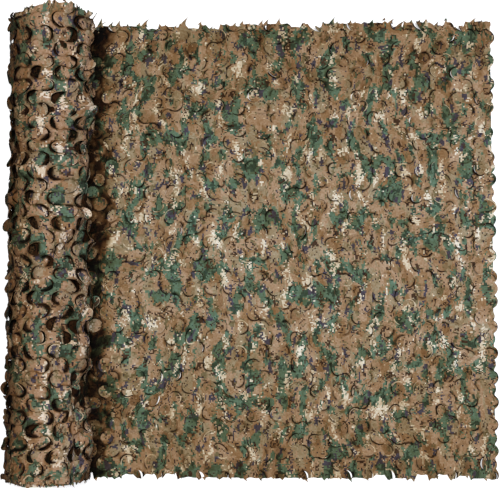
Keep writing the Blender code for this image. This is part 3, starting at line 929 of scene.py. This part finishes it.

# Painted shade on the roll: in and beside slits, at its sides, in sunk leaves and on the turns under the
# outer one.
SLOT_SHARE = 0.52  # of the lying cloth's distances: slits are shaded twice as wide here
OPEN_DEPTH, OPEN_CLOTH_DEPTH = (0.5, 1.6), 0.5  # of that shade, and its share on the cloth round a leaf
LEAF_SHADED_UNDER = 0.004  # what stands out farther on a leaf has no shade at its edge
LEFT_SHADE = 0.62
RIGHT_SHADE, LOW_RIGHT_SHADE = 0.14, 0.45
LOW_RIGHT_FROM, LOW_RIGHT_FADE = 1.45 * math.pi, 0.5  # angle at which the right side turns down
SIDE_POWER = 0.6
LIT_OVER, LIT_SHARE = 0.012, 0.7  # leaves that stand out farther have so much less of that shade
SUNK_SHADE, SUNK_DEPTH = 0.9, 0.016
ROLL_BAND, ROLL_BAND_WIDTH = (0.0, 0.6), 0.006
SECOND_SHADE, SECOND_SHADE_FADE = 0.88, 0.04  # of the second turn under the outer one
INNER_SHADE, INNER_SHADE_FADE = 0.9, 0.05
ROLL_TONGUE_TONE = 0.3
BACK_CAST = (1.04, 0.965, 0.96)

ROLL_OVERHANG = 0.005  # of the wound turns past the lying cloth's -Y edge
DOME = (-0.008, 0.027)  # and past its +Y edge: all round, and what the dome adds at its peak
DOME_PEAK, DOME_WIDTH = math.pi + 0.44, 0.79
ROLL_TEAR = 0.6  # share of the lying cloth's horns and bites
ROLL_EDGE_FADE = 0.018
ROLL_TONGUES = (0.040, 38, (0.003, 0.011), 0.0, 0.0)  # spacing, number, lengths, gain and start


def turned_at(length):
    """Angle from straight down, over the -X side, at a length wound on from the seam.

    The radius falls evenly with the angle, R = R0 - p a / 2 pi, so the length from straight under
    the axis is R0 a - p a^2 / 4 pi, and a = (R0 - sqrt(R0^2 - p length / pi)) 2 pi / p.
    """
    root = np.sqrt(ROLL_RADIUS ** 2 - TURN_STEP * (length - SEAM_X) / np.pi)
    return (ROLL_RADIUS - root) * 2 * np.pi / TURN_STEP


def overhang(length, end):
    """How far the wound turns stand past the lying cloth: evenly at one end, as a dome at the other.

    The dome falls off like a bell with the angle from its peak, a little to the +X side of the top.
    """
    from_peak = np.angle(np.exp(1j * (turned_at(length) - DOME_PEAK)))
    return np.where(end < 0, ROLL_OVERHANG, DOME[0] + DOME[1] * np.exp(-(from_peak / DOME_WIDTH) ** 2))


def wound_tear(length, end):
    """How far the wound turns' torn edges stand out on their own."""
    return ROLL_TEAR * torn_reach(length / ROLL_PITCH, end)


def wound_reach(length, end):
    """How far the wound turns stand out in all."""
    return wound_tear(length, end) + overhang(length, end)


def faces_up(length):
    """1 on top of the roll, falling as a cosine to 0 at its sides and staying 0 under it."""
    return np.maximum(0.0, -np.cos(turned_at(length)))


def wound(length, stands_out):
    """Section of the roll, (x, z), at a length from the seam, moved out by stands_out.

    x = -r sin a and z = h - r cos a, on a radius that falls evenly with the angle. Near the floor what
    stands out is pressed flat, the first turn sags onto it, and the others a little under their circle.
    """
    turned = turned_at(length)
    radius = ROLL_RADIUS - TURN_STEP * turned / (2 * np.pi)
    sideways = np.abs(radius * np.sin(turned))
    low = np.cos(turned) > 0
    relief = np.where(low, smooth((sideways - PRESSED_TO) / FLAT_SPOT), 1.0)
    x = -(radius + stands_out * relief) * np.sin(turned)
    z = AXIS_HEIGHT - (radius + stands_out * relief) * np.cos(turned)
    turn = np.round(turned / (2 * np.pi))
    inner_rest = np.maximum(SECOND_REST, AXIS_HEIGHT - radius - TURN_GAP)
    rest = np.where(turn < 1, LYING_HEIGHT, inner_rest)
    flat = FLAT_SPOT / np.maximum(1.0, turn)
    sag = smooth((sideways - flat) / flat)
    return x, np.where(low, rest + (z - rest) * sag, z)


def outer_lifts(net):
    """How far each leaf's tip on the outer turn and the cloth round it stand out.

    Three leaves in ten stand out, and three in four at the sides. The others have sunk in, most on top.
    """
    at_side = np.isin(net["column"], SIDE_COLUMNS)
    stands_out = per_leaf(net, 1) > np.where(at_side, OUT_OVER_AT_SIDE, OUT_OVER)
    out = np.where(at_side, per_leaf(net, 15, OUT_AT_SIDE), per_leaf(net, 15, OUT_ON_TOP))
    top = SUNK_AT_SIDE + (1 - SUNK_AT_SIDE) * faces_up((net["column"] + 0.5) * ROLL_PITCH)
    tip = np.where(stands_out, out, -per_leaf(net, 15, SUNK_IN) * top)
    bulge = np.where(per_leaf(net, 16) > BULGE_OVER, per_leaf(net, 14, BULGE), RIM_DIP)
    return tip, np.where(stands_out, OUT_RIM_DIP, bulge)


def second_lifts(net):
    """The same on the second turn, which is nearly even."""
    return per_leaf(net, 1, SECOND_TIP), per_leaf(net, 14, SECOND_RIM)


def roll_shade(net, cut, s, tip, rise):
    """How much painted shade each point has: in sunk leaves, at the roll's sides, and in bands beside some
    slits.

    It is 1 less the product of what each of the three leaves of the light.
    """
    low_right = smooth((turned_at(s) - LOW_RIGHT_FROM) / LOW_RIGHT_FADE)
    lit = on_all_points(net, 0.0, on_leaves(tip) > LIT_OVER)
    right_shade = (RIGHT_SHADE + LOW_RIGHT_SHADE * low_right) * (1 - LIT_SHARE * lit)
    side_shade = np.where(turned_at(s) < np.pi, LEFT_SHADE, right_shade)
    side_shade = side_shade * (1 - faces_up(s) ** 2) ** SIDE_POWER
    band = on_ground(net, per_leaf(net, 18, ROLL_BAND)) * np.exp(-cut["distance"] / ROLL_BAND_WIDTH)
    sunk_shade = on_all_points(net, 0.0, SUNK_SHADE * smooth(-rise / SUNK_DEPTH))
    return 1 - (1 - sunk_shade) * (1 - side_shade) * (1 - on_all_points(net, band, 0.0))


def wound_lattice(columns, steps, lifts, hang, inner_shade):
    """A stretch of slit cloth on the roll: points, their place on the cloth, attributes and faces.

    lifts is the function that says how far the leaves' tips and the cloth round them stand out. hang
    says how far out of the spiral the cloth lies at the sides, and how much farther in on top.
    """
    cut = slit_cloth(columns, COLUMN_PITCH, steps, LEAF_RADIUS, -1)
    net = slit_cloth(columns, ROLL_PITCH, steps, OPEN_REACH, -1)
    tip, hole_rim = lifts(net)
    draw_s, draw_t, rise = bent_leaves(net, tip, (OPEN_CURL, OPEN_LEAN, OPEN_CUP))

    flat_s, flat_t = flat_places(net).T
    s = columns[0] * ROLL_PITCH + flat_s + on_all_points(net, 0.0, draw_s)
    t = flat_t + on_all_points(net, 0.0, draw_t)
    rim = on_ground(net, hole_rim) * np.exp(-cut["distance"] / OPEN_RIM_WIDTH)
    hung = hang[0] - hang[1] * smooth(TOP_WIDTH * faces_up(s))
    up = on_all_points(net, rim, rise) + hung + layered(s, t, ROLL_RELIEF, 31)
    loose = smooth(-LOOSE_WIDTH * np.sin(turned_at(s))) * smooth((LOOSE_LENGTH - s) / LOOSE_FADE)
    up = up + loose * (LOOSE_OUT + layered(s, t, [LOOSE_FOLDS], 34))
    pull_s, pull_t = drift(s, t, 33)
    s, t = s + pull_s, t + PULL_SHARE * smooth((HALF_WIDTH - np.abs(t)) / ROLL_FREE_TO_PULL) * pull_t
    inside = smooth((HALF_WIDTH - np.abs(flat_t)) / SECOND_SHADE_FADE)
    shade = np.maximum(roll_shade(net, cut, s, tip, rise), inner_shade * inside)
    t = with_edges(s, t, flat_t, wound_reach, ROLL_EDGE_FADE)
    x, z = wound(s, up)

    place = (-1.0, 1.0) * (flat_places(cut) + (columns[0] * COLUMN_PITCH, 0.0))
    own_distance = slit_distance(net["own_s"], net["own_t"])
    shaded_leaf = rise < LEAF_SHADED_UNDER
    attributes = {
        "slit_distance": SLOT_SHARE * on_all_points(net, cut["distance"], own_distance),
        "slit_depth": slit_depth(net, OPEN_DEPTH, OPEN_CLOTH_DEPTH, shaded_leaf),
        "slit_fray": edge_fray_and_highlight(net),
        "shade": shade,
    }
    return np.stack([x, t, z], axis=-1), place, attributes, net["faces"]


def inner_turns():
    """The other turns, as one coarse spiral sheet with close rows near its torn ends."""
    first = (OUTER_COLUMNS + SECOND_COLUMNS) * ROLL_PITCH
    middle_turn = SLIT_TURNS + np.arange(INNER_TURNS) + 0.5
    last = first + 2 * np.pi * (ROLL_RADIUS - middle_turn * TURN_STEP).sum()
    half = HALF_WIDTH - INNER_ROWS
    rows = np.concatenate([-half, half[::-1]])
    s = np.linspace(first, last, INNER_TURNS * INNER_STEPS + 1)
    s, t = np.meshgrid(s, rows, indexing="ij")
    near_end = np.exp(-(HALF_WIDTH - np.abs(t)) / INNER_EDGE_FADE)
    out = np.zeros(s.shape)
    for end in (-1, 1):
        reach = layered(s, 0 * s + end, [INNER_SHIFT], 41) + wound_reach(s, end)
        out = out + end * near_end * (end * t > 0) * reach
    up = layered(s, t, [INNER_RELIEF], 42) + near_end * layered(s, t, [INNER_END_RELIEF], 43) + INNER_OFFSET
    x, z = wound(s, up)
    points = np.stack([x, t + out, z], axis=-1).reshape(-1, 3)
    place = np.stack([-s * COLUMN_PITCH / ROLL_PITCH, t], axis=-1).reshape(-1, 2)
    shade = INNER_SHADE * smooth((HALF_WIDTH - np.abs(t.ravel())) / INNER_SHADE_FADE)
    faces = quads(np.arange(len(points)).reshape(s.shape)).reshape(-1, 4)
    return points, place, unslit(len(points), shade), faces


def wind_cloth():
    """The rolled cloth as one piece: the outer turn, the second one and the rest."""
    columns = np.arange(OUTER_COLUMNS + SECOND_COLUMNS)
    outer = wound_lattice(columns[:OUTER_COLUMNS], OUTER_STEPS, outer_lifts, OUTER_HANG, 0.0)
    second = wound_lattice(columns[OUTER_COLUMNS:], SECOND_STEPS, second_lifts, SECOND_HANG, SECOND_SHADE)
    cloth = joined(joined(outer, second), inner_turns())
    for end in (-1, 1):
        s, t, up, place, faces = tongues(end, *ROLL_TONGUES, wound_tear, 25)
        x, z = wound(s, up)
        points = np.stack([x, t + end * overhang(s, end), z], axis=-1)
        place = (-COLUMN_PITCH / ROLL_PITCH, 1.0) * place
        cloth = joined(cloth, (points, place, unslit(len(points), ROLL_TONGUE_TONE), faces))
    piece = cloth_object("rolled_net", *cloth, camouflage_cloth("camouflage_cloth_back", BACK_CAST))
    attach(piece, "root")
    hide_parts("roll")


wind_cloth()
